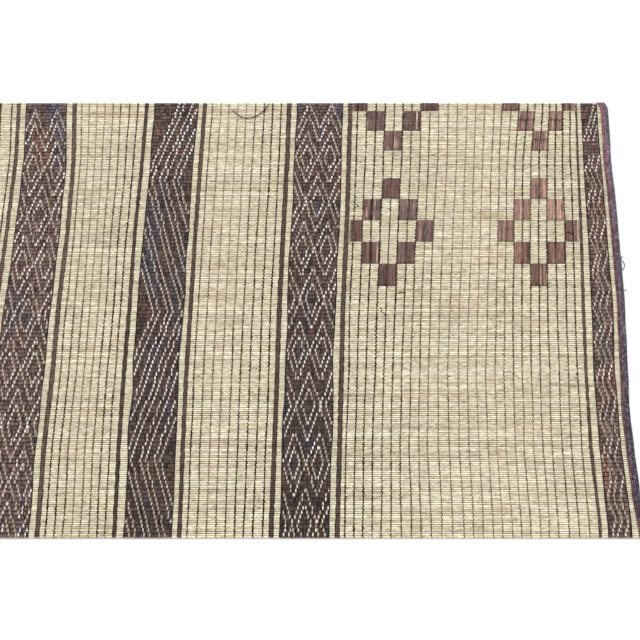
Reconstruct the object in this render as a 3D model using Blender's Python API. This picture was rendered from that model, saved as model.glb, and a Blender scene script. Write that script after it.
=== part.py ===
"""A flat mat of reeds and leather: one woven sheet with a leather edge and a red welt on both long sides.

Frame: the origin lies under the middle of the mat, on the floor. The reeds run along X,
the leather runs along Y, and +Z is up. All sizes are in metres.
"""
import math

import bpy

# Driving sizes
MAT_LENGTH = 0.476          # along Y, a cut length of the rug
REED_COUNT = 228
REED_PITCH_FAR = 0.00202    # at +Y; the reeds grow thicker towards -Y
REED_PITCH_NEAR = 0.00216
REED_CREST = 0.0030         # height of a reed's back over the floor
REED_VALLEY = 0.0023        # height of the groove between two reeds

BINDING_WIDTH = 0.0060      # leather edge, seen from above
BINDING_HEIGHT = 0.0043
BINDING_SKIN = 0.0010       # thickness of its leather
BINDING_ROUND = 0.0012      # how far its outer corners are rounded

WELT_WIDTH = 0.0022         # red strip that lies along the inner side of the leather edge
WELT_THICK = 0.0009

GAP = 0.0003                # space between two pieces that touch

# Where the outer side of the rug runs: how far along Y from the middle, how far from the middle line
SIDE_LINE = (
    # y,      half width
    (0.238, 0.4911),
    (0.202, 0.4907),
    (0.168, 0.4895),
    (0.120, 0.4907),
    (0.010, 0.4907),
    (-0.030, 0.4891),
    (-0.070, 0.4875),
    (-0.112, 0.4857),
    (-0.150, 0.4869),
    (-0.190, 0.4886),
    (-0.238, 0.4925),
)
CORNER_DRAW_IN = 0.0035     # the far corners are drawn in by this much
CORNER_LENGTH = 0.0100      # over this length at the far end

REEDS_PER_BAY = 6           # the sides are straight over this many reeds
REEDS_PER_CORNER_BAY = 2    # and over this many in the drawn-in stretch at the far end
CORNER_REEDS = 12
RIDGE_POINTS = (0.0, 0.30, 0.75, 1.0)   # where a reed's rounded back has its points, valley to valley

TONGUE_BASE = BINDING_SKIN + GAP
TONGUE_TOP = BINDING_HEIGHT - BINDING_SKIN - GAP

# Colour, roughness of each material
REED_STRAW = ((0.74, 0.65, 0.43), 0.62)
EDGE_LEATHER = ((0.060, 0.055, 0.075), 0.55)
RED_LEATHER = ((0.200, 0.050, 0.070), 0.55)


def smooth_between(y, table):
    """Read a value from a table that falls with y, easing in and out of each row."""
    if y >= table[0][0]:
        return table[0][1]
    for (y_high, high), (y_low, low) in zip(table, table[1:]):
        if y >= y_low:
            part = (y_high - y) / (y_high - y_low)
            ease = part * part * (3.0 - 2.0 * part)
            return high + (low - high) * ease
    return table[-1][1]


def half_width(y):
    """Distance from the middle line to the outer side of the rug at y."""
    into_corner = max(0.0, y - (MAT_LENGTH / 2 - CORNER_LENGTH)) / CORNER_LENGTH
    return smooth_between(y, SIDE_LINE) - CORNER_DRAW_IN * into_corner ** 2


def reed_edges():
    """The y of each groove between two reeds, from -Y to +Y, both ends of the mat included."""
    pitches = []
    for index in range(REED_COUNT):
        part = index / (REED_COUNT - 1)
        pitches.append(REED_PITCH_NEAR + (REED_PITCH_FAR - REED_PITCH_NEAR) * part)
    stretch = MAT_LENGTH / sum(pitches)
    edges = [-MAT_LENGTH / 2]
    for pitch in pitches:
        edges.append(edges[-1] + pitch * stretch)
    return edges


def bay_reeds():
    """The grooves where the sides have a corner, counted from -Y."""
    plain = REED_COUNT - CORNER_REEDS
    return list(range(0, plain, REEDS_PER_BAY)) + list(range(plain, REED_COUNT + 1, REEDS_PER_CORNER_BAY))


def bay_lines():
    edges = reed_edges()
    return [edges[index] for index in bay_reeds()]


def material(name, finish):
    colour, roughness = finish
    made = bpy.data.materials.new(name)
    made.use_nodes = True
    shader = made.node_tree.nodes["Principled BSDF"]
    shader.inputs["Base Color"].default_value = (*colour, 1.0)
    shader.inputs["Roughness"].default_value = roughness
    shader.inputs["Metallic"].default_value = 0.0
    return made


def add_object(name, points, faces, made_of):
    mesh = bpy.data.meshes.new(name)
    mesh.from_pydata(points, [], faces)
    mesh.validate()
    mesh.materials.append(made_of)
    piece = bpy.data.objects.new(name, mesh)
    bpy.context.collection.objects.link(piece)
    return piece


def mat_section(side):
    """The section of the mat at one bay line: twelve corners, each side ending in a thin tongue."""
    main = side - BINDING_WIDTH - GAP
    tongue = side - BINDING_SKIN - GAP
    right = [
        (main, 0.0),
        (main, TONGUE_BASE),
        (tongue, TONGUE_BASE),
        (tongue, TONGUE_TOP),
        (main, TONGUE_TOP),
        (main, REED_VALLEY),
    ]
    left = [(-x, z) for x, z in reversed(right)]
    return right + left


def build_mat(made_of):
    """The woven sheet: a flat underside, reeds as ridges on top, and a pressed tongue at each side."""
    edges = reed_edges()
    points = []
    faces = []
    sections = []
    bays = bay_reeds()
    for y in bay_lines():
        section = mat_section(half_width(y))
        sections.append(range(len(points), len(points) + len(section)))
        points += [(x, y, z) for x, z in section]
    right_top = 5
    left_top = 6

    def ridge_rows(bay):
        """Pairs of points right and left across the top of one bay, bay line to bay line."""
        first, last = bays[bay], bays[bay + 1]
        near, far = sections[bay], sections[bay + 1]
        x_near = points[near[right_top]][0]
        x_far = points[far[right_top]][0]
        rows = [(near[right_top], near[left_top])]
        for reed in range(first, last):
            low, high = edges[reed], edges[reed + 1]
            for share in RIDGE_POINTS[1:]:
                if share == 1.0 and reed == last - 1:
                    continue
                y = low + (high - low) * share
                along = (y - edges[first]) / (edges[last] - edges[first])
                x = x_near + (x_far - x_near) * along
                z = REED_VALLEY if share == 1.0 else REED_CREST
                rows.append((len(points), len(points) + 1))
                points.append((x, y, z))
                points.append((-x, y, z))
        rows.append((far[right_top], far[left_top]))
        return rows

    for bay in range(len(bays) - 1):
        near, far = sections[bay], sections[bay + 1]
        corner_count = len(near)
        for corner in range(corner_count):
            after = (corner + 1) % corner_count
            if corner in (right_top - 1, right_top, left_top):
                continue
            faces.append((near[corner], far[corner], far[after], near[after]))
        rows = ridge_rows(bay)
        for (right_a, left_a), (right_b, left_b) in zip(rows, rows[1:]):
            faces.append((right_a, right_b, left_b, left_a))
        rights = [row[0] for row in rows]
        lefts = [row[1] for row in rows]
        faces.append([near[right_top - 1], far[right_top - 1]] + rights[::-1])
        faces.append([far[left_top + 1], near[left_top + 1]] + lefts)
    faces.append(list(sections[0]))
    faces.append(list(sections[-1])[::-1])
    return add_object("reed_mat", points, faces, made_of)


def sweep(name, section, sign, made_of):
    """Carry a closed section along one side of the rug; x in it is measured inward from the side."""
    points = []
    rings = []
    for y in bay_lines():
        side = half_width(y)
        ring = [(sign * (side - inward), y, z) for inward, z in section]
        rings.append(range(len(points), len(points) + len(ring)))
        points += ring
    faces = []
    count = len(section)
    for near, far in zip(rings, rings[1:]):
        for corner in range(count):
            after = (corner + 1) % count
            faces.append((near[corner], near[after], far[after], far[corner]))
    faces.append(list(rings[0])[::-1])
    faces.append(list(rings[-1]))
    if sign < 0:
        faces = [list(face)[::-1] for face in faces]
    piece = add_object(name, points, faces, made_of)
    piece.data.shade_smooth()
    piece.data.set_sharp_from_angle(angle=math.radians(40))
    return piece


def binding_section():
    """Folded leather: an upper and a lower leg joined round the outside, as (inward, z) points."""
    inner = BINDING_WIDTH
    low, high = 0.0, BINDING_HEIGHT
    bend = BINDING_ROUND
    soft = bend * 0.30
    return [
        (inner, low),
        (inner, low + BINDING_SKIN),
        (BINDING_SKIN, low + BINDING_SKIN),
        (BINDING_SKIN, high - BINDING_SKIN),
        (inner, high - BINDING_SKIN),
        (inner, high),
        (bend, high),
        (soft, high - soft),
        (0.0, high - bend),
        (0.0, low + bend),
        (soft, low + soft),
        (bend, low),
    ]


def welt_section():
    """A narrow strip with a rounded back that lies on the reeds beside the leather edge."""
    outer = BINDING_WIDTH + GAP
    inner = outer + WELT_WIDTH
    base = REED_CREST + GAP
    top = base + WELT_THICK
    round_off = WELT_THICK * 0.45
    return [
        (outer, base),
        (inner, base),
        (inner, top - round_off),
        (inner - round_off, top),
        (outer + round_off, top),
        (outer, top - round_off),
    ]


def build_side(word, sign, edge_material, welt_material):
    sweep("edge_binding_" + word, binding_section(), sign, edge_material)
    sweep("edge_welt_" + word, welt_section(), sign, welt_material)


def main():
    for old in list(bpy.data.objects):
        bpy.data.objects.remove(old, do_unlink=True)
    straw = material("reed straw", REED_STRAW)
    edge_leather = material("edge leather", EDGE_LEATHER)
    red_leather = material("red leather", RED_LEATHER)
    build_mat(straw)
    for word, sign in (("left", -1.0), ("right", 1.0)):
        build_side(word, sign, edge_leather, red_leather)


main()
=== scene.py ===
"""Reed and leather rug from almost straight above: reeds, woven leather bands, diamonds and a folded edge.

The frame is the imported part's: the origin lies on the floor under the middle of the rug, the reeds run along
X, the leather runs along Y, and +Z is up. All sizes are in metres.
"""

import math

import bpy
import numpy as np
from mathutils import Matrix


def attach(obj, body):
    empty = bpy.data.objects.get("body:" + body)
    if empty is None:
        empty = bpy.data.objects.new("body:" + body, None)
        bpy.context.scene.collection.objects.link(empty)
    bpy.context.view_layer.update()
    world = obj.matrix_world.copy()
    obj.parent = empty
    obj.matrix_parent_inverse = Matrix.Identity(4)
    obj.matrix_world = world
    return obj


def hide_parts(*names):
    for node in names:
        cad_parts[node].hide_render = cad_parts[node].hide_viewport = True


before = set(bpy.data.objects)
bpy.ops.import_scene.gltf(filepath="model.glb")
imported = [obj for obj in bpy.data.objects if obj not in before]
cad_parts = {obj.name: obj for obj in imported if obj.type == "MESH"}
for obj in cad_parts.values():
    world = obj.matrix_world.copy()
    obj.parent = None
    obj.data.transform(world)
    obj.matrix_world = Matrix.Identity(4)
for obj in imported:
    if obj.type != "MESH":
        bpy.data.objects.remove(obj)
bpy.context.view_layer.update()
rng = np.random.default_rng(17)

# The camera looks 75 degrees down
CAMERA_PLACE = (0.1679, -0.2640, 0.9335)
CAMERA_TILT = 15.0
CAMERA_LENS = 51.47
SKY_STRENGTH = 0.80
SUN_ENERGY = 1.38
SUN_SPREAD = 25.0         # wide, for soft shadows
SUN_TURN = (-18.0, -8.0, 0.0)
FLOOR_REACH = 6.0
FLOOR_HEIGHT = -0.0002

# Sizes of the part
MAT_LENGTH = 0.476
REED_COUNT = 228
REED_PITCH_FAR = 0.00202
REED_PITCH_NEAR = 0.00216
BINDING_WIDTH = 0.0060
BINDING_HEIGHT = 0.0043
BINDING_SKIN = 0.0010
GAP = 0.0003
SIDE_LINE = (
    # y, half width of the rug
    (0.238, 0.4911), (0.202, 0.4907), (0.168, 0.4895), (0.120, 0.4907),
    (0.010, 0.4907), (-0.030, 0.4891), (-0.070, 0.4875), (-0.112, 0.4857),
    (-0.150, 0.4869), (-0.190, 0.4886), (-0.238, 0.4925),
)
CORNER_DRAW_IN = 0.0035
CORNER_LENGTH = 0.0100

# How finely the reeds are built
REED_SECTIONS = 54
REED_SIDES = 8
REED_BLOCKS = 4

# Heights in the weave; a pair of heights is over the reeds' backs and over the grooves
REED_MIDDLE = 0.0020
REED_RADIUS = 0.00100
BAND_TOP = 0.00345        # leather over a reed's back
BAND_TWIN = 0.00328       # over the groove inside a pair of reeds
BAND_GROOVE = 0.00278     # over the groove between two pairs
BAND_DIVE = 0.00200       # where a strip goes under a reed
STRIPE_HEIGHTS = (0.00340, 0.00290)
LINE_HEIGHTS = (0.00325, 0.00275)
STRIP_CROWN = 0.00022     # how much lower a strip's sides are
LINE_CROWN = 0.00030
STRIP_GAP = 0.00004       # space left free at each side of a strip
MARK_GAP = 0.00014        # more space beside a light mark
END_HEIGHT = 0.00240      # where a strip turns round the last reed
END_MIDDLE = 0.00150      # the middle of that turn, half its height, and how far it stands out
END_HALF = 0.00075
END_BULGE = 0.00020
UNDER_HEIGHT = 0.00060    # of a strip under the reeds, how far it rises there, and its free space
UNDER_RISE = 0.00030
UNDER_GAP = 0.00005
UNDER_THONG = 0.7         # half the width of a thong there, in millimetres

# Layout across the rug in millimetres from the middle, before the columns stray
NOMINAL_SIDE = 490.0
MIRROR_FROM = 200.0       # columns beyond this are mirrored on the left
LEAN = 0.01923            # how far the columns lean right for each metre towards the far end
STRAY_Y = (-220.6, -149.1, -74.7, 2.9, 83.8, 168.3, 234.2)
STRAYS = (
    # column, how far it strays to the right at each of those places along Y
    (-176.0, (0.0, -1.5, 0.0, -0.5, 1.5, 2.5, -1.0)),
    (-165.8, (0.0, -1.5, 0.0, -0.5, 1.5, 2.5, -1.0)),
    (-116.5, (0.0, -1.5, 0.0, -0.5, 2.0, 1.0, -4.5)),
    (-71.0, (1.5, -0.5, 0.0, 0.5, 0.0, -0.5, -2.5)),
    (-36.0, (1.5, -0.5, -1.0, -0.2, -0.5, 1.8, 2.2)),
    (-25.2, (2.2, 0.3, 0.4, 0.2, -0.5, 1.9, 2.3)),
    (0.0, (1.5, -0.5, -2.0, -1.0, -1.0, 0.0, 1.5)),
    (123.0, (-2.0, -1.5, -1.0, -1.0, 0.5, 2.5, 3.0)),
    (160.0, (-3.0, -2.0, -2.5, 0.0, 1.5, 3.5, 4.0)),
    (195.5, (-3.5, -2.5, -1.5, -1.0, 2.0, 3.5, 4.5)),
    (199.0, (-2.0, -2.0, 0.0, 1.0, 3.0, 6.0, 7.0)),
    (237.0, (-4.0, -4.0, -2.0, 1.0, 4.0, 7.5, 10.0)),
    (285.0, (-2.0, -5.0, -3.0, 0.0, 4.0, 10.0, 12.0)),
    (313.0, (1.5, -1.0, -1.5, 2.0, 7.0, 12.0, 15.5)),
    (342.0, (2.5, -0.5, -1.0, 3.0, 7.5, 12.0, 17.0)),
    (380.0, (1.5, -2.0, -1.0, 1.5, 4.5, 9.0, 16.5)),
    (409.0, (0.5, -2.5, -1.5, 0.0, 3.0, 6.5, 13.0)),
    (437.5, (2.5, -1.0, -1.0, 0.5, 3.0, 4.0, 6.5)),
    (446.5, (2.0, -2.5, -3.0, -2.0, 0.5, 1.7, 3.5)),
    (455.5, (2.5, -1.0, -2.5, -0.5, 0.3, 0.0, 0.5)),
    (477.4, (4.5, -0.7, -2.1, 0.5, -0.4, -2.3, -3.0)),
)
BANDS = (
    # name, left side, right side, strips, how far its sides wave, brightness at the far and the near end
    ("band_one", -165.8, -116.1, 36, 1.0, 1.09, 0.97),
    ("band_two", -25.2, 25.2, 36, 1.0, 0.85, 0.54),
    ("band_three", 133.9, 185.2, 38, 1.0, 0.97, 0.38),
    ("band_four_right", 455.3, 477.4, 16, 0.4, 0.95, 1.00),
    ("band_four_left", -477.4, -455.3, 16, 0.4, 0.95, 1.00),
)
STRIPES = (
    # left side, right side, strips, brightness at the far and the near end
    (-175.9, -171.6, 3, 1.75, 1.40),
    (-110.7, -105.6, 4, 1.80, 1.45),
    (-35.4, -31.3, 3, 1.15, 0.90),
    (30.0, 34.6, 4, 1.45, 1.00),
    (123.4, 128.5, 4, 1.20, 0.85),
    (190.5, 195.6, 4, 1.35, 0.95),
    (446.4, 449.7, 3, 1.45, 1.45),
    (-449.7, -446.4, 3, 1.45, 1.45),
)
FIELDS = (
    # name, first line, last line, lines; at the far and at the near end, where across the field the lines are
    # lightest, how far that reaches and how light they are there; and the stretch, as shares of the length
    # from the near end, over which one look turns into the other
    ("lines_narrow_one", -100.2, -42.4, 8, (0.30, 0.42, 0.95), (0.50, 0.26, 0.62), (0.30, 0.95)),
    ("lines_narrow_two", 40.5, 117.1, 9, (0.32, 0.32, 1.00), (0.27, 0.20, 0.60), (0.25, 0.85)),
    ("lines_wide_right", 199.0, 437.4, 26, (0.50, 0.20, 0.88), (0.62, 0.42, 0.75), (0.15, 0.62)),
    ("lines_wide_left", -437.4, -179.9, 28, (0.50, 0.20, 0.88), (0.38, 0.42, 0.75), (0.15, 0.62)),
)
LINE_WIDE = 2.05          # a dark thong
LINE_THIN = 1.30          # a light one
WIDE_FIELD = (195.7, 446.4)   # the stripes that bound a wide field
NARROW_BAND = 20          # a band of fewer strips is narrow

# Bands one and three hold columns of nested diamonds, set like the squares of a chessboard: the strips of
# their middles, the row of the first middle, the rows from one to the next, how much those grow each time,
# the row where the pattern starts, and how many strips it drifts to the left over a hundred rows. The rows
# of a band are pairs of reeds, counted from the far end.
NESTED = {
    "band_one": ((8.1, 17.6, 27.1), 5.8, 13.6, 0.0, 2.0, 0.0),
    "band_three": ((9.9, 19.1, 28.1), 3.4, 12.8, 0.18, 0.0, 0.8),
}
# Half heights of the inner and the outer diamond in such steps, in the middle and at the sides
NESTED_SIZES = ((0.34, 0.64), (0.31, 0.59))

# Band two: pairs of lines that zigzag together from side to side
ZIGZAG_TURN = 22.6        # row where they first turn
ZIGZAG_ROWS = 36.6        # rows from turn to turn
ZIGZAG_SWING = 36.0       # strips that they cross in those rows
ZIGZAG_SPACING = 10.9     # strips from pair to pair
ZIGZAG_PAIR = 4.3         # strips from line to line in a pair
ZIGZAG_LEFT = -23.8       # strip of the first line at the first turn
ZIGZAG_STARTS = (24, 24, 0, 0, 0)   # first row in which each pair shows

# Band four: three short zigzags side by side
NARROW_TURN = 15.6
NARROW_ROWS = 4.7
NARROW_START = 11.0       # until this row they run straight down to the left
NARROW_SLOPE = 1.1        # strips for each of those rows
NARROW_SIDES = ((1.2, 5.7), (5.2, 9.3), (9.8, 14.0))

# Stepped diamonds: squares of long floats between the thongs; their rows are reeds, counted from the far end
SQUARE_ROWS = 12
SQUARE_STRIPS = 6         # between one thong and the next
SQUARE_INSET = 0.00055    # from the middle of a thong
SQUARE_GAPS = (0.00005, 0.00012)
SQUARE_HEIGHT = 0.00338   # of the floats, and how much higher their middle is
SQUARE_RISE = 0.00018
SQUARE_ENDS = (0.00250, 0.00290)    # at the near and the far end
SQUARE_TIE = 0.00325      # where they are tied down in the middle
DIAMOND_STARTS = (-31, 45)
RUST_ROWS = (62, 82)      # the squares turn rustier between these rows

# Light marks, where a reed shows in a band: size and height of their rings, from the top down
MARK_RINGS = ((0.05, 0.00370), (0.75, 0.00358), (1.0, 0.00310))


def srgb(red, green, blue):
    """A screen colour, 0 to 255, as the shader's linear colour."""
    return tuple((value / 255 / 12.92) if value <= 10 else ((value / 255 + 0.055) / 1.055) ** 2.4
                 for value in (red, green, blue))


CREAM = srgb(252, 246, 224)
DULL_STRAW = srgb(216, 204, 166)
PINK_STRAW = srgb(222, 206, 196)
GREEN_STRAW = srgb(214, 213, 178)
RUST_STRAW = srgb(196, 152, 108)
# painted shade: the colour of the grooves between reeds and of the brown dashes where they part
GROOVE_SHADE = srgb(80, 59, 34)
LEATHER = srgb(91, 73, 70)
LEATHER_RED = srgb(104, 76, 68)
LEATHER_BLUE = srgb(80, 72, 81)
LEATHER_OLIVE = srgb(90, 76, 60)
LEATHER_DARK = srgb(26, 20, 24)
STRIPE_BROWN = srgb(86, 71, 63)
LINE_DARK = srgb(52, 33, 14)
LINE_LIGHT = srgb(146, 116, 90)
BRIGHT_DOT = srgb(252, 240, 241)
THIN_DOT = srgb(240, 224, 221)
SQUARE_LEFT = srgb(112, 90, 88)
SQUARE_RIGHT = srgb(174, 138, 125)
SQUARE_DARK = srgb(98, 68, 66)
SQUARE_RUST = srgb(110, 72, 58)
SLATE = srgb(86, 80, 88)
SLATE_DARK = srgb(38, 39, 54)
MAUVE = srgb(124, 106, 118)
WELT_RED = srgb(78, 59, 61)
WELT_PINK = srgb(156, 104, 118)
EDGE_RUBBED = srgb(160, 152, 164)
EDGE_SCARRED = srgb(38, 36, 50)
FLOAT_RED = srgb(132, 84, 74)
FLOAT_BLUE = srgb(88, 78, 92)
FLOAT_PALE = srgb(196, 168, 146)
DIAMONDS = (
    # line where the single squares begin, colour, how rusty they turn, whether the far diamond's are tied
    (3, SQUARE_LEFT, 0.2, False),
    (20, SQUARE_RIGHT, 0.6, True),
)


# Camera and light

def add_object(name, data):
    made = bpy.data.objects.new(name, data)
    bpy.context.collection.objects.link(made)
    return made


def set_up_view():
    camera = add_object("camera", bpy.data.cameras.new("camera"))
    camera.location = CAMERA_PLACE
    camera.rotation_euler.x = math.radians(CAMERA_TILT)
    camera.data.lens = CAMERA_LENS
    camera.data.clip_start = 0.01
    bpy.context.scene.camera = camera
    bpy.context.scene.view_settings.view_transform = "Standard"


def set_up_light():
    world = bpy.data.worlds.new("studio")
    world.use_nodes = True
    sky = world.node_tree.nodes["Background"]
    sky.inputs["Color"].default_value = (1, 1, 1, 1)
    sky.inputs["Strength"].default_value = SKY_STRENGTH
    bpy.context.scene.world = world
    sun = add_object("window", bpy.data.lights.new("window", "SUN"))
    sun.data.energy = SUN_ENERGY
    sun.data.angle = math.radians(SUN_SPREAD)
    sun.rotation_euler = [math.radians(turn) for turn in SUN_TURN]


# Materials

class Finish:
    """A material in the making: its shader, and the nodes that colour and roughen it by place."""

    def __init__(self, name, specular):
        self.material = bpy.data.materials.new(name)
        self.material.use_nodes = True
        self.tree = self.material.node_tree
        self.shader = self.tree.nodes["Principled BSDF"]
        self.shader.inputs["Specular IOR Level"].default_value = specular
        self.place = self.node("TexCoord").outputs["Object"]

    def feed(self, socket, value):
        if isinstance(value, bpy.types.NodeSocket):
            self.tree.links.new(value, socket)
        else:
            socket.default_value = value

    def node(self, kind, **inputs):
        node = self.tree.nodes.new("ShaderNode" + kind)
        for name, value in inputs.items():
            self.feed(node.inputs[name.replace("_", " ")], value)
        return node

    def tint(self):
        node = self.node("Attribute")
        node.attribute_name = "tint"
        return node.outputs["Color"]

    def noise(self, stretch, detail=2.0, rough=0.5):
        """Noise with so many lumps to the metre along X, Y and Z."""
        scale = self.node("VectorMath")
        scale.operation = "MULTIPLY"
        self.feed(scale.inputs[0], self.place)
        self.feed(scale.inputs[1], stretch)
        node = self.node("TexNoise", Scale=1.0, Detail=detail, Roughness=rough, Vector=scale.outputs[0])
        return node.outputs["Fac"]

    def spread(self, value, from_low, from_high, to_low, to_high):
        node = self.node("MapRange", Value=value, From_Min=from_low, From_Max=from_high,
                         To_Min=to_low, To_Max=to_high)
        return node.outputs["Result"]

    def blend(self, factor, first, second, kind="MIX"):
        node = self.node("Mix")
        node.data_type = "RGBA"
        node.blend_type = kind
        self.feed(node.inputs["Factor"], factor)
        for socket, colour in ((node.inputs["A"], first), (node.inputs["B"], second)):
            self.feed(socket, colour if isinstance(colour, bpy.types.NodeSocket) else (*colour, 1.0))
        return node.outputs["Result"]

    def shade(self, colour, value, dark, light, warm=0.0):
        """Multiply a colour by a grey that runs from dark to light; warm makes the dark browner."""
        red, green, blue = (self.spread(value, 0.25, 0.75, dark - loss, light)
                            for loss in (0, warm / 3, warm))
        grey = self.node("CombineColor", Red=red, Green=green, Blue=blue)
        return self.blend(1.0, colour, grey.outputs["Color"], "MULTIPLY")

    def bump(self, height, distance, strength):
        node = self.node("Bump", Distance=distance, Strength=strength, Height=height)
        self.feed(self.shader.inputs["Normal"], node.outputs["Normal"])

    def done(self, colour, roughness):
        self.feed(self.shader.inputs["Base Color"], colour)
        self.feed(self.shader.inputs["Roughness"], roughness)
        return self.material


def reed_finish():
    """Dry straw: long fibres, stains, orange scars across single reeds, and brown dashes of painted shade
    where the reeds part.
    """
    finish = Finish("reed straw", 0.30)
    fibres = finish.noise((70.0, 1500.0, 1500.0), 3.0, 0.6)
    cells = finish.noise((170.0, 520.0, 200.0))
    stains = finish.noise((80.0, 260.0, 200.0))
    scars = finish.noise((200.0, 620.0, 300.0))
    colour = finish.shade(finish.tint(), fibres, 0.78, 1.18, 0.06)
    colour = finish.shade(colour, cells, 0.62, 1.31, 0.08)
    colour = finish.blend(finish.spread(stains, 0.56, 0.76, 0.0, 0.45), colour, DULL_STRAW)
    colour = finish.blend(finish.spread(stains, 0.42, 0.24, 0.0, 0.55), colour, PINK_STRAW)
    colour = finish.blend(finish.spread(scars, 0.61, 0.70, 0.0, 0.60), colour, RUST_STRAW)
    # brown dashes: painted shade where neighbouring reeds part
    colour = finish.blend(finish.spread(scars, 0.37, 0.28, 0.0, 0.70), colour, GROOVE_SHADE)
    finish.bump(fibres, 0.00012, 0.6)
    return finish.done(colour, finish.spread(fibres, 0.2, 0.8, 0.48, 0.68))


def leather_finish(name, grain_size, dark, light):
    """Goat leather: fine grain and soft patches; the lighter backs of the strips are painted highlights in the
    tint.
    """
    finish = Finish(name, 0.06)
    grain = finish.noise((grain_size, grain_size * 0.7, grain_size), 3.0, 0.65)
    patches = finish.noise((160.0, 120.0, 160.0))
    colour = finish.shade(finish.tint(), grain, dark, light)
    colour = finish.shade(colour, patches, 0.84, 1.16)
    finish.bump(grain, 0.00010, 0.7)
    return finish.done(colour, finish.spread(grain, 0.25, 0.75, 0.62, 0.44))


def edge_finish():
    """Worn folded leather: pale scratches and rubbed spots over dark slate."""
    finish = Finish("edge leather worn", 0.15)
    grain = finish.noise((700.0, 500.0, 700.0), 3.0, 0.7)
    rubs = finish.noise((420.0, 300.0, 420.0))
    colour = finish.shade(finish.tint(), grain, 0.45, 1.55)
    colour = finish.blend(finish.spread(rubs, 0.56, 0.68, 0.0, 0.50), colour, EDGE_RUBBED)
    colour = finish.blend(finish.spread(rubs, 0.42, 0.30, 0.0, 0.60), colour, EDGE_SCARRED)
    finish.bump(grain, 0.00016, 0.9)
    return finish.done(colour, finish.spread(grain, 0.25, 0.75, 0.60, 0.40))


def welt_finish():
    """Dark red leather; its tint holds pink places, partly rubbed and partly painted highlights where the
    strip swells.
    """
    finish = Finish("welt leather", 0.12)
    grain = finish.noise((1300.0, 900.0, 1300.0), 3.0, 0.7)
    colour = finish.shade(finish.tint(), grain, 0.70, 1.30)
    finish.bump(grain, 0.00012, 0.8)
    return finish.done(colour, finish.spread(grain, 0.25, 0.75, 0.62, 0.45))


def floor_finish():
    finish = Finish("pale floor", 0.10)
    cloudy = finish.noise((3.0, 3.0, 3.0))
    colour = finish.blend(cloudy, [0.90] * 3, [0.93] * 3)
    return finish.done(colour, 0.85)


# Places in the weave

def smooth_between(y, table):
    """Read a value from a table that falls with y, easing in and out of each row."""
    if y >= table[0][0]:
        return table[0][1]
    for (y_high, high), (y_low, low) in zip(table, table[1:]):
        if y >= y_low:
            part = (y_high - y) / (y_high - y_low)
            return high + (low - high) * part * part * (3.0 - 2.0 * part)
    return table[-1][1]


def half_width(y):
    into_corner = max(0.0, y - (MAT_LENGTH / 2 - CORNER_LENGTH)) / CORNER_LENGTH
    return smooth_between(y, SIDE_LINE) - CORNER_DRAW_IN * into_corner ** 2


def groove_lines():
    """The y of each groove between two reeds, from the near end to the far end."""
    pitches = np.linspace(REED_PITCH_NEAR, REED_PITCH_FAR, REED_COUNT)
    return np.concatenate([[0.0], np.cumsum(pitches)]) * MAT_LENGTH / pitches.sum() - MAT_LENGTH / 2


GROOVES = groove_lines()
BACKS = (GROOVES[:-1] + GROOVES[1:]) / 2
STATIONS = np.empty(2 * REED_COUNT + 1)
STATIONS[0::2] = GROOVES
STATIONS[1::2] = BACKS
SIDES = np.array([half_width(y) for y in STATIONS])


def stray_table():
    """Columns across the rug, and how far each strays at every station, in metres."""
    table = [(column, np.interp(STATIONS * 1000, STRAY_Y, values) / 1000 + LEAN * STATIONS)
             for column, values in STRAYS]
    table.append((NOMINAL_SIDE, SIDES - NOMINAL_SIDE / 1000))
    table += [(-column, -stray) for column, stray in table if column > MIRROR_FROM]
    columns, strays = zip(*sorted(table, key=lambda row: row[0]))
    return np.array(columns) / 1000, np.array(strays)


COLUMNS, STRAY = stray_table()


def run_line(place):
    """The x, at every station, of a line that is laid out at a place in millimetres from the middle."""
    x = place / 1000
    upper = int(np.clip(np.searchsorted(COLUMNS, x), 1, len(COLUMNS) - 1))
    part = (x - COLUMNS[upper - 1]) / (COLUMNS[upper] - COLUMNS[upper - 1])
    return x + STRAY[upper - 1] * (1 - part) + STRAY[upper] * part


def eased(part):
    return part * part * (3 - 2 * part)


def ripples(count, step, length=len(STATIONS)):
    """Smooth random curves between -1 and 1, with a new value after every step."""
    knots = rng.uniform(-1, 1, (count, int(length / step) + 3))
    at = np.arange(length) / step
    low = at.astype(int)
    part = eased(at - low)
    return knots[:, low] * (1 - part) + knots[:, low + 1] * part


def by_station(on_backs, in_grooves):
    """One number at the stations on the reeds' backs, and another in the grooves."""
    return np.where(np.arange(len(STATIONS)) % 2 == 1, on_backs, in_grooves)


def divided(left, right, strips):
    """The sides of so many strips between two lines."""
    return left + (right - left) * (np.arange(strips + 1)[:, None] / strips)


def mixed(first, second, part):
    """Blend two colours, or arrays of them, by a number or an array of numbers."""
    part = np.clip(np.asarray(part, float), 0, 1)[..., None]
    return np.asarray(first) * (1 - part) + np.asarray(second) * part


# Meshes

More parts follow.
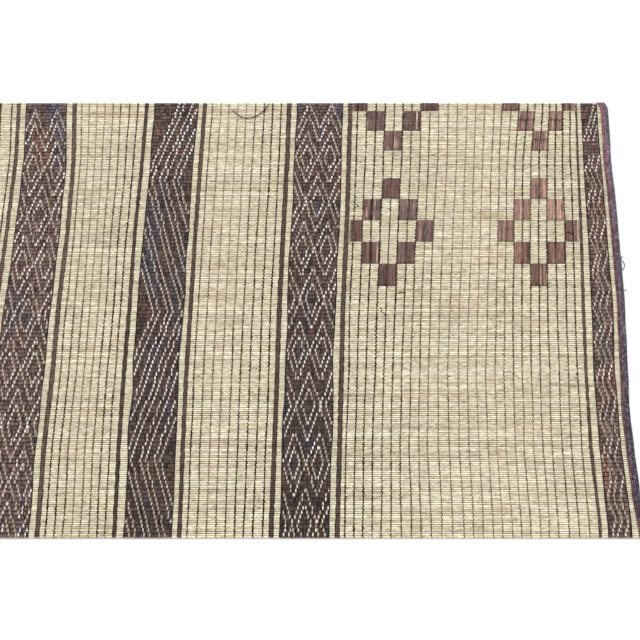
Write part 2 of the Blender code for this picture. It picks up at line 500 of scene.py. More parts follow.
class Surface:
    """Grids of points gathered into one mesh, with a colour and a place on the colour map for each point."""

    def __init__(self):
        self.points, self.tints, self.faces, self.places = [], [], [], []
        self.count = 0

    def add_grids(self, points, tints, places, keep=None, closed=False, flip=False):
        """Points are grids x rows x columns x 3; keep says which steps from row to row are drawn."""
        grids, rows, columns = points.shape[:3]
        number = np.arange(grids * rows * columns).reshape(grids, rows, columns) + self.count
        if closed:
            number = np.concatenate([number, number[:, :, :1]], axis=2)
        corners = self.corners(number[:, :-1], number[:, 1:], keep)
        starts, stops = places if isinstance(places, tuple) else (places[:, :-1], places[:, 1:])
        spots = np.stack([self.corners(starts[..., axis], stops[..., axis], keep) for axis in (0, 1)],
                         axis=-1)
        if flip:
            corners, spots = corners[:, ::-1], spots[:, ::-1]
        self.points.append(points.reshape(-1, 3))
        self.tints.append(np.broadcast_to(tints, points.shape).reshape(-1, 3))
        self.faces.append(corners)
        self.places.append(spots)
        self.count += grids * rows * columns

    @staticmethod
    def corners(starts, stops, keep):
        quads = np.stack([starts[..., :-1], starts[..., 1:], stops[..., 1:], stops[..., :-1]], axis=-1)
        return (quads if keep is None else quads[keep]).reshape(-1, 4)

    def finish(self, name, material, slot="edge_leather", node="reed_mat", sharp=None):
        """Make the piece, without the points that no face uses."""
        points, tints, places = map(np.concatenate, (self.points, self.tints, self.places))
        used, faces = np.unique(np.concatenate(self.faces), return_inverse=True)
        mesh = bpy.data.meshes.new(name)
        mesh.from_pydata(points[used].tolist(), [], faces.reshape(-1, 4).tolist())
        colours = np.concatenate([np.clip(tints[used], 0, 1), np.ones((len(used), 1))], axis=1)
        layer = mesh.color_attributes.new("tint", "FLOAT_COLOR", "POINT")
        layer.data.foreach_set("color", colours.astype(np.float32).ravel())
        mesh.uv_layers.new(name="OFBake").data.foreach_set("uv", places.astype(np.float32).ravel())
        mesh.materials.append(material)
        mesh.shade_smooth()
        if sharp:
            mesh.set_sharp_from_angle(angle=math.radians(sharp))
        piece = add_object(name, mesh)
        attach(piece, "root")
        if node:
            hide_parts(node)
        return piece


def column_places(count, rows, columns=3):
    """Places on the colour map for strips side by side, each as long as the map."""
    across = np.linspace(0.06, 0.94, columns)
    u = (np.arange(count)[:, None, None] + across) / count
    v = np.linspace(0.002, 0.998, rows)[:, None]
    return np.stack(np.broadcast_arrays(u, v), axis=-1)


def whole_map(columns, rows, margin):
    """Places on the colour map for one grid that fills it."""
    across = np.linspace(0.02, 0.98, columns)
    return np.stack(np.meshgrid(across, np.linspace(margin, 1 - margin, rows)), axis=-1)[None]


# Reeds

def reed_ripples(step):
    return ripples(REED_COUNT, step, REED_SECTIONS)


def reed_tints():
    """The colour of every reed's back at every section along it."""
    warm, green, rust = reed_ripples(6), reed_ripples(4.5), reed_ripples(2.2)
    own = rng.uniform(-1, 1, (REED_COUNT, 1))
    tints = mixed(CREAM, DULL_STRAW, 0.20 + 0.30 * own + 0.35 * warm)
    tints = mixed(tints, PINK_STRAW, 0.8 * warm - 0.22)
    tints = mixed(tints, GREEN_STRAW, green - 0.40)
    tints = mixed(tints, RUST_STRAW, 2.0 * rust - 1.45)
    light = 1.0 + 0.04 * rng.uniform(-1, 1, (REED_COUNT, 1)) + 0.08 * reed_ripples(2)
    return tints * light[..., None]


def build_reeds(material):
    """Round reeds side by side, in blocks along Y, each slightly bent and uneven."""
    backs = reed_tints()
    angles = np.arange(REED_SIDES) * 2 * math.pi / REED_SIDES
    reach = np.interp(BACKS, STATIONS, SIDES) - BINDING_SKIN - GAP
    along = np.concatenate([[-1, -1], np.linspace(-0.998, 0.998, REED_SECTIONS - 4), [1, 1]])
    closing = np.ones((REED_SECTIONS, 1))
    closing[[0, -1]] = 0.04
    bend = 0.00010 * reed_ripples(7)
    lift = 0.00007 * reed_ripples(5) + 0.00002 * rng.uniform(-1, 1, (REED_COUNT, 1))
    # where neighbouring reeds part: there a reed is a little thinner and its painted groove shade is deeper
    gapes = np.clip(reed_ripples(2.5) * 1.6 - 0.35, 0, 1)[..., None]
    half = np.diff(GROOVES) / 2
    pieces = []
    for block, reeds in enumerate(np.array_split(np.arange(REED_COUNT), REED_BLOCKS), 1):
        gape = gapes[reeds]
        grid = np.empty((len(reeds), REED_SECTIONS, REED_SIDES, 3))
        grid[..., 0] = (along * reach[reeds, None])[..., None]
        thick = (1.0 - 0.05 * gape) * closing
        grid[..., 1] = (BACKS[reeds, None] + bend[reeds])[..., None] \
            + half[reeds][:, None, None] * 0.985 * thick * np.cos(angles)
        grid[..., 2] = REED_MIDDLE + lift[reeds][..., None] + REED_RADIUS * closing * np.sin(angles)
        # painted shade: each reed's lower sides take the groove colour, darker where the reeds part and
        # towards the near end
        depth = np.clip(0.90 - np.sin(angles), 0, 1) * (0.95 + 0.35 * gape)
        depth = np.clip(depth, 0, 1)[..., None]
        dark = np.array(GROOVE_SHADE) * depth * (1.0 - 0.35 * gape[..., None])
        dark *= (0.65 + 0.45 * reeds / REED_COUNT)[:, None, None, None]
        surface = Surface()
        tints = backs[reeds][:, :, None] * (1 - depth) + dark
        surface.add_grids(grid, tints, reed_places(len(reeds)), closed=True)
        piece = surface.finish(f"reeds_{block}", material, "reed")
        wide = float(2 * reach[reeds].mean())
        deep = float(GROOVES[reeds[-1] + 1] - GROOVES[reeds[0]])
        pieces.append((piece, (round(wide, 4), round(deep, 4))))
    return pieces


def reed_places(count):
    """Reeds on the colour map: thirds of each reed above one another, and more room for its upper side."""
    share = np.interp(np.arange(REED_SIDES + 1), (0, REED_SIDES / 2, REED_SIDES), (0.04, 0.70, 0.96))
    third = (REED_SECTIONS - 1) / 3
    step = np.arange(REED_SECTIONS - 1)
    stack = (step / third).astype(int)
    v = ((np.arange(count)[:, None] * 3 + stack)[:, :, None] + share) / (3 * count)
    ends = (0.001 + 0.998 * (reached / third - stack)[:, None] for reached in (step, step + 1))
    return tuple(np.stack(np.broadcast_arrays(u, v), axis=-1) for u in ends)


# Leather strips

def add_strips(surface, left, right, middle, tints, keep=None, y=STATIONS, first=0, total=None,
               crown=STRIP_CROWN):
    """Strips along Y with a rounded back; left, right and middle height are strips x stations."""
    count, length = left.shape
    points = np.empty((count, length, 3, 3))
    points[..., 0] = np.stack([left, (left + right) / 2, right], axis=-1)
    points[..., 1] = np.broadcast_to(y, left.shape)[..., None]
    points[..., 2] = middle[..., None] - crown * np.array([1, 0, 1])
    places = column_places(total or count, length)[first:first + count]
    # painted shade on each strip's sides and a painted highlight along its middle
    paint = tints[..., None, :] * np.array([0.80, 1.06, 0.80])[:, None]
    surface.add_grids(points, paint, places, keep=keep)


def band_edges(left, right, strips, sway, wave=0.0):
    """The sides of each strip of a band at every station."""
    at = np.arange(len(STATIONS))
    inner = np.minimum(1, np.minimum(at, at[::-1]) / 16)
    x_left, x_right = (run_line(place) + wave / 1000 * inner * ripples(1, 34)[0] for place in (left, right))
    lines = divided(x_left, x_right, strips)
    lines[1:-1] += sway * ripples(strips - 1, 14)
    lines[[0, -1]] += 0.00018 * ripples(2, 4)
    return lines


def band_tints(strips):
    """Patches of reddish, bluish and olive leather, a few strips wide and a few rows tall, with painted
    highlights on the strips' backs and painted shade between the rows.
    """
    ruddy = 0.45 if strips < NARROW_BAND else 0.0
    rows = len(STATIONS)

    def patches(wide, tall):
        down = ripples(int(strips / wide) + 3, tall)
        at = np.arange(strips) / wide
        low = at.astype(int)
        part = (at - low)[:, None]
        return down[low] * (1 - part) + down[low + 1] * part

    tints = mixed(LEATHER, LEATHER_RED, patches(5, 22) * 1.3 - 0.30 + ruddy)
    tints = mixed(tints, LEATHER_BLUE, patches(7, 30) * 1.7 - 0.30 - ruddy)
    tints = mixed(tints, LEATHER_OLIVE, patches(5, 12) * 1.4 - 0.60)
    # random tone for each strip and row, partly painted highlights on the strips' backs
    fleck_and_highlight = np.repeat(rng.uniform(0.25, 1.75, (strips, REED_COUNT // 2 + 1)), 4, axis=1)[:, :rows]
    tints = tints * (fleck_and_highlight * (1.0 + 0.15 * ripples(strips, 4)))[..., None]
    # painted shade: the leather over the grooves between pairs of reeds is nearly black
    light = np.linspace(1.42, 1.45, rows)
    light[0::4] = np.linspace(0.06, 0.0, rows)[0::4]
    tints = tints * light[:, None]
    tints[[0, -1]] = mixed(LEATHER_DARK, tints[[0, -1]], 0.25)
    return tints


def nested_paths(columns, first, step, growth, start, drift):
    """Sides of nested diamonds as pairs of (strip, row) points; the first row of them is cut off above."""
    left, middle, right = columns
    reach = (right - left) / 2
    steep = reach / (0.61 * step)
    paths = []
    for column in (left, right):
        for sign in (-1, 1):
            paths.append(((column, start), (column + sign * (first - start) * steep, first)))
    for number in range(int(REED_COUNT / 2 / step) + 2):
        row = first + number * (step + growth * (number - 1) / 2)
        for place in ((left, right) if number % 2 else (left - reach, middle, right + reach)):
            for size in NESTED_SIZES[number % 2]:
                tall = size * step
                for side in (place - tall * steep, place + tall * steep):
                    if number > 0:
                        paths.append(((place, row - tall), (side, row)))
                    paths.append(((side, row), (place, row + tall)))
    return [[(strip - drift * row / 100, row) for strip, row in path] for path in paths]


def zigzag_paths():
    paths = []
    for pair, start in enumerate(ZIGZAG_STARTS):
        for line in (0, 1):
            low = ZIGZAG_LEFT + pair * ZIGZAG_SPACING + line * ZIGZAG_PAIR
            path = [(low + ZIGZAG_SWING * (turn % 2), ZIGZAG_TURN + turn * ZIGZAG_ROWS)
                    for turn in range(-1, 4)]
            paths.append([(low, start)] + path[2:] if start else path)
    return paths


def narrow_paths():
    paths = []
    for low, high in NARROW_SIDES:
        paths.append(((low + NARROW_SLOPE * NARROW_START, 0), (low, NARROW_START)))
        paths.append([(low if turn % 2 else high, NARROW_TURN + turn * NARROW_ROWS) for turn in range(22)])
    return paths


def band_marks(name, strips):
    """Light marks along a band's lines: strip, row, slant and brightness.

    Lines that run down to the left are bright and rounded, the others thin, and dim in a narrow band.
    """
    full, thin = (0.85, 0.45) if strips < NARROW_BAND else (1.05, 0.85)
    if name in NESTED:
        paths = nested_paths(*NESTED[name])
    else:
        paths = zigzag_paths() if name == "band_two" else narrow_paths()
    marks = {}
    for path in paths:
        across, down = zip(*path)
        own = rng.uniform(0.90, 1.10)
        glow = ripples(1, 5, REED_COUNT)[0]
        for row in range(max(0, math.ceil(down[0])), min(REED_COUNT // 2 - 1, math.floor(down[-1])) + 1):
            strip = int(round(np.interp(row, down, across) + rng.uniform(-0.35, 0.35)))
            leftward = np.interp(row + 0.4, down, across) < np.interp(row - 0.4, down, across)
            if 1 <= strip < strips - 1:
                bright = (own + 0.30 * glow[row]) * (full if leftward else thin)
                marks[strip, row] = (1 if leftward else -1, bright)
    return [(*place, *look) for place, look in marks.items()]


def build_band(name, left, right, strips, wave, far, near, material, dots):
    """One dense band: strips over and under the reeds, and a light mark where a reed shows."""
    lines = band_edges(left, right, strips, 0.00010, wave)
    bare = np.zeros((strips, REED_COUNT), bool)
    pitch = (right - left) / strips / 1000
    for strip, row, slant, bright in band_marks(name, strips):
        reed = REED_COUNT - 1 - 2 * row
        bare[strip, reed] = True
        middle = (lines[strip, 2 * reed + 1] + lines[strip + 1, 2 * reed + 1]) / 2
        dots.append((middle, reed, pitch, slant, bright))
    beside = np.zeros((strips, len(STATIONS)), bool)
    beside[:, 0:-1:2] |= bare
    beside[:, 2::2] |= bare
    height = by_station(BAND_TOP, BAND_TWIN)
    height[0::4] = BAND_GROOVE
    height[[0, -1]] = END_HEIGHT
    height = np.where(beside, BAND_DIVE, height + 0.00006 * ripples(strips, 3))
    hole = np.zeros((strips, len(STATIONS)), bool)
    hole[:, 1::2] = bare
    left_edge, right_edge = lines[:-1] + STRIP_GAP, lines[1:] - STRIP_GAP
    left_edge[1:] += MARK_GAP * hole[:-1]
    right_edge[:-1] -= MARK_GAP * hole[1:]
    surface = Surface()
    tints = band_tints(strips) * np.linspace(near, far, len(STATIONS))[:, None]
    add_strips(surface, left_edge, right_edge, height, tints, keep=np.repeat(~bare, 2, axis=1))
    surface.finish(name, material)


def build_stripes(material):
    """Narrow stripes of a few strips, rough at their sides."""
    surface = Surface()
    total = sum(stripe[2] for stripe in STRIPES)
    first = 0
    for left, right, strips, far, near in STRIPES:
        lines = band_edges(left, right, strips, 0.00016)
        lines[[0, -1]] += 0.00036 * ripples(2, 2)
        heights = by_station(*STRIPE_HEIGHTS) + 0.00010 * ripples(strips, 2)
        heights[:, [0, -1]] = END_HEIGHT
        part = ripples(strips, 3) * 0.5 + 0.5 * ripples(strips, 40)
        # painted shade over the grooves, lighter on the reeds' backs
        tints = mixed(STRIPE_BROWN, LEATHER_RED, part) * by_station(1.30, 0.30)[:, None]
        tints = tints * np.linspace(near, far, len(STATIONS))[:, None]
        tints = tints * (1.0 + 0.45 * ripples(strips, 3)[..., None])
        tints[[0, -1]] *= 0.75
        add_strips(surface, lines[:-1] + STRIP_GAP, lines[1:] - STRIP_GAP, heights, tints,
                   first=first, total=total)
        first += strips
    surface.finish("stripes", material)


def build_lines(name, start, end, count, far, near, turn, material):
    """Single thongs over a field, each wriggling a little from reed to reed."""
    rows = len(STATIONS)
    middles = np.array([run_line(place) for place in np.linspace(start, end, count)])
    middles += 0.00050 * ripples(count, 40) + 0.00016 * ripples(count, 2)
    middles += 0.00028 * np.where(np.arange(rows) % 4 < 2, 1, -1) * (1.0 + 0.5 * ripples(count, 9))
    toward_far = eased(np.clip((np.linspace(0, 1, rows) - turn[0]) / (turn[1] - turn[0]), 0, 1))
    across = np.linspace(0, 1, count)
    light = np.zeros((count, rows))     # 0 a dark thong, 1 a light one
    for (place, reach, lightest), share in ((near, 1 - toward_far), (far, toward_far)):
        light += np.outer(lightest * np.exp(-((across - place) / reach) ** 2), share)
    light += 0.06 * rng.uniform(-1, 1, (count, 1)) + 0.12 * ripples(count, 60) + 0.10 * ripples(count, 4)
    light = np.clip(light, 0, 1)
    wide = (LINE_WIDE + (LINE_THIN - LINE_WIDE) * light) / 2000 * (1.0 + 0.20 * ripples(count, 3))
    heights = by_station(*LINE_HEIGHTS) + 0.00005 * ripples(count, 3)
    heights[:, [0, -1]] = END_HEIGHT
    tints = mixed(LINE_DARK, LINE_LIGHT, light) * (1.0 + 0.25 * ripples(count, 3))[..., None]
    # painted shade over the grooves, lighter on the reeds' backs
    tints = tints * by_station(1.10, 0.72)[:, None]
    surface = Surface()
    add_strips(surface, middles - wide, middles + wide, heights, tints, crown=LINE_CROWN)
    surface.finish(name, material)
    return middles


# Stepped diamonds

def wide_line(middles, side, number):
    """The x of a numbered line of the wide field on one side; beyond its lines lie the stripes."""
    inner, outer = WIDE_FIELD
    if side < 0:
        lines = middles["lines_wide_left"]
        last = len(lines) - 3
        return lines[last - number] if number <= last else run_line(-outer)
    if number < 0:
        return run_line(inner)
    lines = middles["lines_wide_right"]
    return lines[number] if number < len(lines) else run_line(outer)


def diamond_squares(single, start):
    """Line and row of each square of one stepped diamond, apart from those that are cut off."""
    squares = []
    for step, away in enumerate((0, 1, 2, 1, 0)):
        row = start + step * SQUARE_ROWS
        if row + SQUARE_ROWS > 0:
            squares += [(single + 2 * shift, row) for shift in sorted({-away, away})]
    return squares


def square_list():
    """All squares: left line, first row, rows, base colour, mirrored or not, tied in the middle or not."""
    squares = []
    for single, colour, rust, ties in DIAMONDS:
        for start in DIAMOND_STARTS:
            for line, row in diamond_squares(single, start):
                top = max(row, 0)
                own = mixed(colour, SQUARE_RUST, np.interp(row, RUST_ROWS, (0, rust)))
                for side in (1, -1):
                    squares.append((line, top, row + SQUARE_ROWS - top, own, side, ties and start < 0 < row))
    return squares


def build_diamonds(middles, material):
    """Squares of floats that lie over twelve reeds, between the thongs of the field."""
    surface = Surface()
    squares = square_list()
    total = len(squares) * 2 * SQUARE_STRIPS
    first = 0
    for line, top, rows, colour, side, tied in squares:
        far = 2 * (REED_COUNT - top)
        near = far - 2 * rows
        stations = np.array([near, *range(near + 1, far, 2), far])
        count = len(stations)
        for cell in (line, line + 1):
            thongs = [wide_line(middles, side, number)[stations] for number in (cell, cell + 1)]
            low, high = thongs[::side]
            lines = divided(low + SQUARE_INSET, high - SQUARE_INSET, SQUARE_STRIPS)
            lines[1:-1] += 0.00012 * rng.uniform(-1, 1, (SQUARE_STRIPS - 1, 1)) \
                + 0.00006 * ripples(SQUARE_STRIPS - 1, 3, count)
            heights = SQUARE_HEIGHT + SQUARE_RISE * np.sin(np.pi * np.linspace(0, 1, count)) \
                + 0.00008 * ripples(SQUARE_STRIPS, 3, count)
            heights[:, 0], heights[:, -1] = SQUARE_ENDS
            shade = np.ones(count)
            shade[[0, 1, -1]] = 0.12, 0.75, 0.55
            if tied:
                heights[:, count // 2] = SQUARE_TIE
                shade[count // 2] = 0.30
            own = mixed(colour, SQUARE_DARK, 0.60 if top == 0 else rng.uniform(-0.3, 0.7))
            tints = square_tints(count, own) * shade[:, None]
            tints[[0, -1]] *= 0.80
            gaps = np.array(SQUARE_GAPS)[rng.integers(0, 2, (SQUARE_STRIPS, 1))]
            add_strips(surface, lines[:-1] + gaps, lines[1:] - gaps, heights, tints,
                       y=STATIONS[stations], first=first, total=total)
            first += SQUARE_STRIPS
    surface.finish("diamonds", material)


def square_tints(rows, colour):
    """Striped leather: each float a little redder, bluer, darker or paler than its neighbour."""

    def drawn(own, along, step):
        return own * rng.uniform(-1, 1, (SQUARE_STRIPS, 1)) + along * ripples(SQUARE_STRIPS, step, rows)

    red, blue, pale = drawn(1, 0.5, 4), drawn(1, 0.3, 4), drawn(1, 0.3, 5)
    tints = mixed(colour, FLOAT_RED, 0.5 * red - 0.1)
    tints = mixed(tints, FLOAT_BLUE, 0.6 * blue - 0.2)
    tints = mixed(tints, FLOAT_PALE, 1.8 * pale - 1.25)
    return tints * (1.0 + drawn(0.42, 0.35, 2))[..., None]


# Light marks where a reed shows between the strips

def build_dots(dots, material):
    """A small rounded back for each reed that shows: round on one slant, thin and long on the other."""
    x, reed, pitch, slant, bright = map(np.array, zip(*dots))
    count = len(x)
    round_one = slant > 0
    bright = bright * np.where(rng.uniform(0, 1, count) < 0.12, 0.65, 1.0) * rng.uniform(0.90, 1.10, count)
    toward_far = reed / REED_COUNT
    wide = np.where(round_one, 0.50 + 0.33 * toward_far, 0.33)
    tall = np.where(round_one, 0.84 - 0.18 * toward_far, 0.68 + 0.32 * toward_far)
    half_x = pitch * wide * rng.uniform(0.85, 1.15, count)
    half_y = np.diff(GROOVES)[reed] * tall * rng.uniform(0.88, 1.12, count)
    middle_y = BACKS[reed] - np.where(round_one, 0.0, 0.15) * half_y
    lean = np.where(round_one, 0.08, -0.33) * half_y
    turn = np.arange(9) * math.pi / 4
    cosine, sine = np.cos(turn), np.sin(turn)
    points = np.empty((count, 3, 8, 3))
    for ring, (size, height) in enumerate(MARK_RINGS):
        points[:, ring, :, 0] = x[:, None] + size * (half_x[:, None] * cosine + lean[:, None] * sine)[:, :-1]
        points[:, ring, :, 1] = (middle_y[:, None] + size * half_y[:, None] * sine)[:, :-1]
        points[:, ring, :, 2] = height
    paint = np.where(round_one[:, None], BRIGHT_DOT, THIN_DOT) * bright[:, None]
    # painted shade on the outer ring, round the rim of each mark
    tints = paint[:, None, None] * np.array([1, 1, 0.62])[:, None, None]
    side = math.ceil(math.sqrt(count))
    spot = np.stack([np.arange(count) % side, np.arange(count) // side], axis=-1) / side + 0.5 / side
    sizes = np.array([0.02, 0.30, 0.42])[:, None]
    places = spot[:, None, None] + np.stack([sizes * cosine, sizes * sine], axis=-1) / side
    surface = Surface()
    surface.add_grids(points, tints, places, closed=True, flip=True)
    surface.finish("reed_backs_in_bands", material, "reed")


# Underside and ends

def strip_sides(stations):
    """The x of both sides of every strip and thong at some stations, as strips x stations x sides."""
    pairs = []
    for left, right, strips in [band[1:4] for band in BANDS] + [stripe[:3] for stripe in STRIPES]:
        edges = np.linspace(left, right, strips + 1)
        pairs += zip(edges, edges[1:])
    for field in FIELDS:
        pairs += [(place - UNDER_THONG, place + UNDER_THONG) for place in np.linspace(*field[1:4])]
    sides = np.array([[run_line(place)[stations] for place in pair] for pair in pairs])
    return sides.transpose(0, 2, 1) + UNDER_GAP * np.array([1, -1])


def build_underside(material):
    """The strips as they pass under the reeds, simpler than above."""
    stations = np.arange(0, len(STATIONS), 4)
    sides = strip_sides(stations)
    count, rows = sides.shape[:2]
    points = np.empty((count, rows, 2, 3))
    points[..., 0] = sides
    points[..., 1] = STATIONS[stations][:, None]
    points[..., 2] = UNDER_HEIGHT + UNDER_RISE * (np.arange(rows) % 2)[:, None]
    tints = np.array(LEATHER) * (1.0 + 0.2 * ripples(count, 3, rows))[:, :, None, None]
    surface = Surface()
    surface.add_grids(points, tints, column_places(count, rows, 2), flip=True)
    surface.finish("underside_strips", material)


def build_ends(material):
    """At both cut ends the strips turn down round the last reed."""
    angles = np.array([0.0, 0.2, 0.45, 0.7, 0.9, 1.0])[:, None] * math.pi
    surface = Surface()
    for end, outward in ((0, -1), (-1, 1)):
        sides = strip_sides([end])
        count = len(sides)
        points = np.empty((count, len(angles), 2, 3))
        points[..., 0] = sides
        points[..., 1] = STATIONS[end] + outward * END_BULGE * np.sin(angles)
        points[..., 2] = END_MIDDLE + END_HALF * np.cos(angles)
        tints = np.array(LEATHER) * rng.uniform(0.5, 1.0, (count, 1, 1, 1))
        places = np.split(column_places(count * 2, len(angles), 2), 2)[end]
        surface.add_grids(points, tints, places, flip=outward < 0)
    surface.finish("strip_ends", material)


# Leather edge

def sweep_side(section, sign, tints, shake):
    """Carry a closed section along one side; x in it is measured inward from the side."""
    inward, height = np.array(section).T
    rows, count = len(STATIONS), len(section)
    points = np.empty((1, rows, count, 3))
    points[..., 0] = sign * (SIDES[:, None] - (inward + shake[0]))
    points[..., 1] = STATIONS[:, None]
    points[..., 2] = height + shake[1]
    surface = Surface()
    surface.add_grids(points, tints[None], whole_map(count + 1, rows, 0.002), closed=True, flip=sign < 0)
    half = count // 2
    for end, flip in ((0, False), (-1, True)):
        ring = points[:, end]
        pairs = np.stack([ring[:, :half], ring[:, :half - 1:-1]], axis=1)
        spots = np.full((1, 2, half, 2), 0.004) + np.arange(half)[:, None] * 0.001
        spots[:, 1, :, 1] += 0.003
        surface.add_grids(pairs, tints[end].mean(0), spots, flip=flip != (sign < 0))
    return surface


BINDING_SECTION = (
    # inward from the side, height: round the leather from the lower leg's inner edge to the upper leg's
    (0.0060, 0.0001), (0.0044, 0.0000), (0.0026, 0.0000), (0.0012, 0.0001), (0.0004, 0.0006),
    (0.0000, 0.0014), (0.0000, 0.0029), (0.0004, 0.0037), (0.0012, 0.0042), (0.0026, 0.0043),
    (0.0044, 0.0042), (0.0060, 0.0039),
    (0.0061, 0.0034), (0.0044, 0.0033), (0.0026, 0.0033), (0.0014, 0.0032), (0.0010, 0.0028),
    (0.0010, 0.0015), (0.0014, 0.0011), (0.0026, 0.0010), (0.0044, 0.0009), (0.0060, 0.0009),
)


def build_binding(word, sign, material):
    count = len(BINDING_SECTION)
    shake_x = 0.00012 * ripples(count, 5).T
    shake_x[:, 10:13] += 0.00025 * ripples(1, 9).T  # the upper leg's inner edge
    shake_z = 0.00006 * ripples(count, 3).T
    shake_z[:, 5:13] += 0.00010 * by_station(0.4, -0.6)[:, None]  # the reeds show through
    shake_z[:, 0:4] = np.abs(shake_z[:, 0:4])  # nothing sinks into the floor
    shake_z[:, 18:] = 0.0
    far = np.linspace(0, 1, len(STATIONS))[:, None]
    inward, height = (np.array(BINDING_SECTION) / (BINDING_WIDTH, BINDING_HEIGHT)).T
    tints = mixed(SLATE, MAUVE, 0.9 * far * inward + 0.35 * ripples(count, 7).T)
    tints = mixed(tints, SLATE_DARK, 0.68 - 0.58 * far + 0.35 * ripples(count, 12).T)
    pink = 3.0 * (inward - 0.72) * (0.25 + 0.75 * far) + 0.25 * ripples(count, 3).T
    tints = mixed(tints, WELT_PINK, pink)
    dull = 0.35 * np.clip((inward - 0.4) / 0.3, 0, 1) * np.clip(1.6 * (1 - far), 0, 1)
    # painted shade: the lower points of the section are darker; dull darkens the inner parts towards the near
    # end
    tints = tints * ((0.55 + 0.45 * height) * (1 - dull))[..., None]
    tints = tints * (1.0 + 0.25 * ripples(count, 2).T)[..., None]
    surface = sweep_side(BINDING_SECTION, sign, tints, (shake_x, shake_z))
    surface.finish("binding_" + word, material, node="edge_binding_" + word, sharp=60)


WELT_SECTION = (
    (0.0063, 0.0033), (0.0085, 0.0033), (0.0086, 0.0037), (0.0082, 0.0041),
    (0.0078, 0.00422), (0.0070, 0.00422), (0.0065, 0.0041), (0.0062, 0.0037),
)


def build_welt(word, sign, material):
    """A red strip whipped down beside the edge: it swells and tightens every few reeds."""
    count, rows = len(WELT_SECTION), len(STATIONS)
    whip = np.sin(np.arange(rows) * 2 * math.pi / 7.0 + 0.8 * ripples(1, 20)[0])[:, None]
    shake_x = 0.00012 * ripples(count, 5).T
    shake_z = np.zeros((rows, count))
    shake_z[:, 2:] += 0.00012 * whip - 0.00006
    far = np.linspace(0, 1, rows)[:, None]
    # pink where rubbed, towards the far end, and as a painted highlight on each swell
    rub_and_highlight = 0.12 + 0.20 * whip + 0.25 * ripples(1, 6).T + 2.2 * np.clip(far - 0.70, 0, 1)
    tints = mixed(WELT_RED, WELT_PINK, rub_and_highlight) * (1.0 + 0.2 * ripples(count, 3).T)[..., None]
    # painted shade on the welt's underside and the foot of its side towards the reeds
    tints[:, 0:3] *= 0.35
    surface = sweep_side(WELT_SECTION, sign, tints, (shake_x, shake_z))
    surface.finish("welt_" + word, material, "red_leather", "edge_welt_" + word, sharp=70)


# Loose ends

LOOSE_ENDS = (
    # thickness and points in millimetres: a thong, then short threads
    (0.95, (
        (67.8, 230.3, 3.4), (71.6, 226.7, 3.9), (75.4, 223.4, 4.0), (80.1, 219.8, 4.1), (85.8, 218.3, 4.1),
        (91.3, 219.3, 4.1), (97.1, 221.5, 4.1), (103.9, 226.6, 4.1), (107.9, 231.7, 4.0),
        (111.2, 237.1, 3.7))),
    (0.90, ((484.6, 56.8, 4.4), (487.2, 56.5, 3.2), (490.4, 56.0, 1.2), (493.9, 56.0, 0.6))),
    (0.70, (
        (488.0, 55.6, 4.2), (490.8, 53.9, 2.0), (493.8, 50.1, 0.6), (494.8, 46.6, 0.6), (492.7, 41.9, 0.6),
        (491.0, 41.0, 0.6))),
    (0.60, ((486.8, 19.0, 4.4), (489.4, 18.9, 2.6), (492.0, 18.9, 0.8), (495.2, 18.9, 0.5))),
    (0.60, ((484.0, 163.8, 4.4), (487.0, 163.4, 4.2), (490.6, 162.6, 2.4))),
    (1.00, ((434.1, 82.4, 3.6), (436.8, 83.0, 4.0), (439.9, 81.3, 4.0), (442.1, 82.2, 3.6))),
    (0.80, ((250.6, 13.7, 3.4), (252.8, 15.4, 3.8), (256.0, 15.6, 3.9), (257.0, 14.2, 3.4))),
    (0.70, (
        (230.8, -1.0, 3.3), (233.2, -2.6, 3.8), (232.6, -6.0, 3.8), (235.4, -7.4, 3.8), (236.6, -11.0, 3.3))),
    (1.10, ((207.2, 115.6, 3.4), (208.6, 114.2, 3.9), (210.3, 112.5, 3.5))),
    (1.30, ((225.6, -21.2, 3.4), (226.4, -22.0, 3.9), (227.0, -23.2, 3.4))),
)


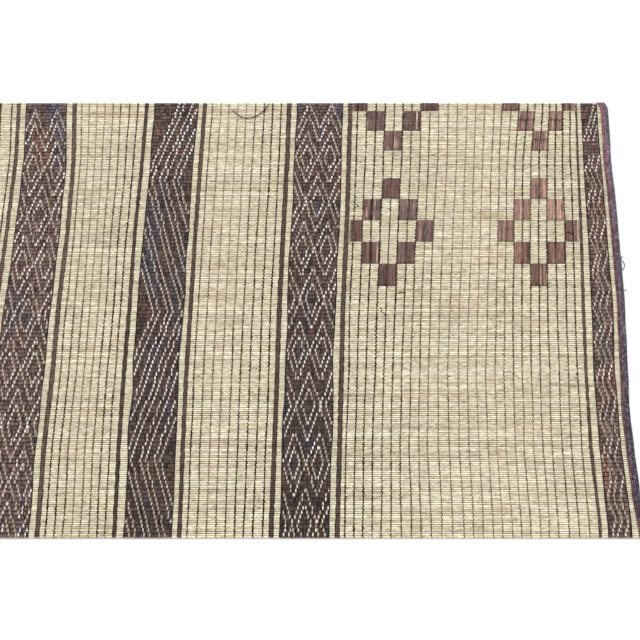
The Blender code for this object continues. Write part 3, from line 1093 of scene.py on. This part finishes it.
def build_loose_end(name, thick, path, material):
    """A thin round thong along a smooth path."""
    path = np.array(path) / 1000
    steps = np.linspace(0, len(path) - 1, 8 * len(path))
    low = np.minimum(steps.astype(int), len(path) - 2)
    part = (steps - low)[:, None]
    before = path[np.maximum(low - 1, 0)]
    after = path[np.minimum(low + 2, len(path) - 1)]
    start, stop = path[low], path[low + 1]
    points = 0.5 * (2 * start + (stop - before) * part
                    + (2 * before - 5 * start + 4 * stop - after) * part ** 2
                    + (3 * start - before - 3 * stop + after) * part ** 3)
    ahead = np.gradient(points, axis=0)
    ahead /= np.linalg.norm(ahead, axis=1)[:, None]
    side = np.cross(ahead, (0, 0, 1))
    side /= np.linalg.norm(side, axis=1)[:, None]
    up = np.cross(side, ahead)
    radius = thick / 2000 * np.interp(np.linspace(0, 1, len(points)), (0, 0.1, 0.9, 1), (0.25, 1, 1, 0.25))
    angle = np.arange(6)[:, None] * math.pi / 3
    round_it = side[:, None] * np.cos(angle) + up[:, None] * np.sin(angle)
    grid = points[:, None] + radius[:, None, None] * round_it
    tints = np.array(LINE_DARK) * (1.0 + 0.3 * ripples(1, 5, len(points))[0])[:, None, None]
    surface = Surface()
    surface.add_grids(grid[None], tints[None], whole_map(7, len(points), 0.01), closed=True)
    surface.finish(name, material, node=None)


# Floor

def build_floor():
    mesh = bpy.data.meshes.new("floor")
    corners = [(x * FLOOR_REACH, y * FLOOR_REACH, FLOOR_HEIGHT)
               for x, y in ((-1, -1), (1, -1), (1, 1), (-1, 1))]
    mesh.from_pydata(corners, [], [(0, 1, 2, 3)])
    mesh.materials.append(floor_finish())
    floor = add_object("floor", mesh)


def main():
    set_up_view()
    set_up_light()
    build_floor()
    straw = reed_finish()
    leather = leather_finish("woven leather", 1300.0, 0.78, 1.22)
    thong = leather_finish("thong leather", 900.0, 0.80, 1.20)
    edge = edge_finish()
    welt = welt_finish()
    blocks = build_reeds(straw)
    dots = []
    for band in BANDS:
        build_band(*band, leather, dots)
    build_dots(dots, straw)
    build_stripes(leather)
    middles = {field[0]: build_lines(*field, thong) for field in FIELDS}
    build_diamonds(middles, leather)
    build_underside(leather)
    build_ends(leather)
    for word, sign in (("left", -1), ("right", 1)):
        build_binding(word, sign, edge)
        build_welt(word, sign, welt)
    for number, (thick, path) in enumerate(LOOSE_ENDS):
        build_loose_end(f"loose_thread_{number}" if number else "loose_thong", thick, path, thong)


main()
